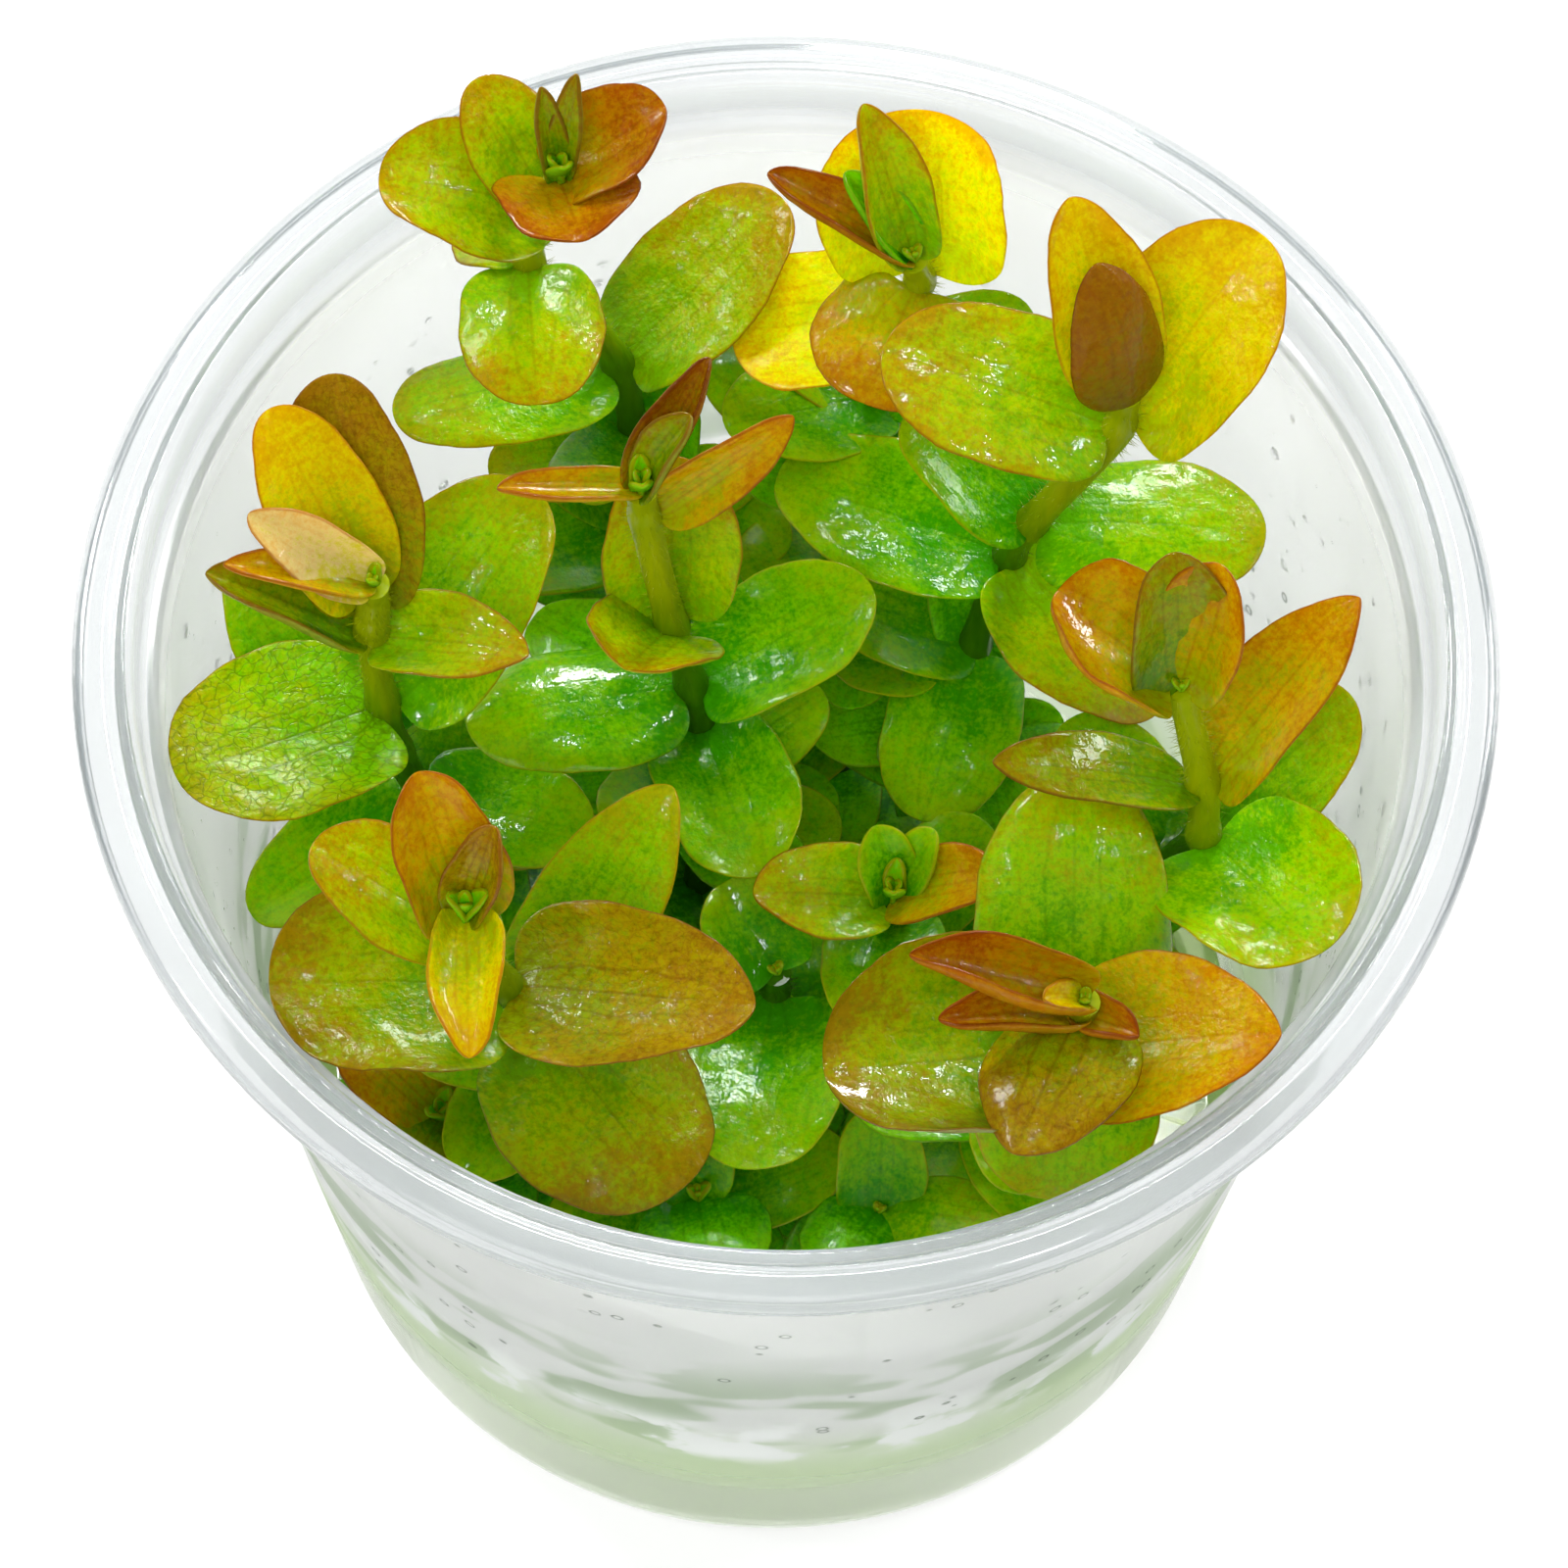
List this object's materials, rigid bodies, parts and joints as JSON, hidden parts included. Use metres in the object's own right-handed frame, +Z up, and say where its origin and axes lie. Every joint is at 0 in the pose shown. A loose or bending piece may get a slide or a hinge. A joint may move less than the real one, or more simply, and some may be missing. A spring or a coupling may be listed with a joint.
{
  "type": "tissue culture aquarium plant",
  "caption": "Leafy water hyssop shoots with broad green, gold and copper leaves standing in agar in a round clear flanged cup.",
  "frame": {"origin": "centre of the cup's underside", "axes": "+Z up out of the cup, +X to the right and -Y towards the viewer"},
  "size_m": [0.1, 0.1, 0.1106],
  "materials": {
    "cup_plastic": "thin clear plastic with a faint haze",
    "agar_gel": "soft wet cloudy gel",
    "stem": "soft plant stem, faintly glossy",
    "leaf_green": "fleshy leaf, wet gloss",
    "leaf_lime": "fleshy leaf, wet gloss",
    "leaf_olive": "fleshy leaf, wet gloss",
    "leaf_gold": "fleshy leaf, wet gloss",
    "leaf_copper": "fleshy leaf, wet gloss"
  },
  "bodies": {
    "root": {"cup": "cup_plastic", "agar": "agar_gel", "shoot_1_stem": "stem", "shoot_1_left_leaf": "leaf_lime", "shoot_1_front_leaf": "leaf_lime", "shoot_1_right_leaf": "leaf_lime", "shoot_1_low_left_leaf": "leaf_green", "shoot_2_stem": "stem", "shoot_2_back_leaf": "leaf_gold", "shoot_2_front_leaf": "leaf_gold", "shoot_2_left_leaf": "leaf_gold", "shoot_3_stem": "stem", "shoot_3_right_leaf": "leaf_gold", "shoot_3_left_leaf": "leaf_lime", "shoot_3_upright_leaf": "leaf_gold", "shoot_3_brown_front_leaf": "leaf_copper", "shoot_3_low_right_leaf": "leaf_lime", "shoot_3_mid_left_leaf": "leaf_green", "shoot_3_mid_right_leaf": "leaf_lime", "shoot_3_deep_front_leaf": "leaf_green", "shoot_4_stem": "stem", "shoot_4_top_right_leaf": "leaf_gold", "shoot_4_back_leaf": "leaf_lime", "shoot_4_front_leaf": "leaf_lime", "shoot_4_left_leaf": "leaf_green", "shoot_4_right_leaf": "leaf_lime", "shoot_4_low_front_leaf": "leaf_green", "shoot_5_stem": "stem", "shoot_5_cup_left_leaf": "leaf_gold", "shoot_5_long_right_leaf": "leaf_gold", "shoot_5_twisted_leaf": "leaf_olive", "shoot_5_low_right_leaf": "leaf_lime", "shoot_5_low_back_leaf": "leaf_lime", "shoot_6_stem": "stem", "shoot_6_gold_up_leaf": "leaf_gold", "shoot_6_copper_up_leaf": "leaf_gold", "shoot_6_pale_right_leaf": "leaf_olive", "shoot_6_fold_left_leaf": "leaf_olive", "shoot_6_veined_leaf": "leaf_lime", "shoot_6_glossy_right_leaf": "leaf_lime", "shoot_6_low_left_leaf": "leaf_green", "shoot_7_stem": "stem", "shoot_7_gold_left_leaf": "leaf_gold", "shoot_7_fold_up_leaf": "leaf_gold", "shoot_7_big_left_leaf": "leaf_olive", "shoot_7_big_right_leaf": "leaf_olive", "shoot_7_back_leaf": "leaf_lime", "shoot_7_front_leaf": "leaf_olive", "shoot_8_stem": "stem", "shoot_8_cup_left_leaf": "leaf_olive", "shoot_8_right_leaf": "leaf_gold", "shoot_8_back_leaf": "leaf_lime", "shoot_8_front_leaf": "leaf_lime", "shoot_9_stem": "stem", "shoot_9_left_leaf": "leaf_lime", "shoot_10_stem": "stem", "shoot_11_stem": "stem", "shoot_12_stem": "stem", "shoot_12_front_leaf": "leaf_green", "shoot_13_stem": "stem"}
  },
  "joints": []
}
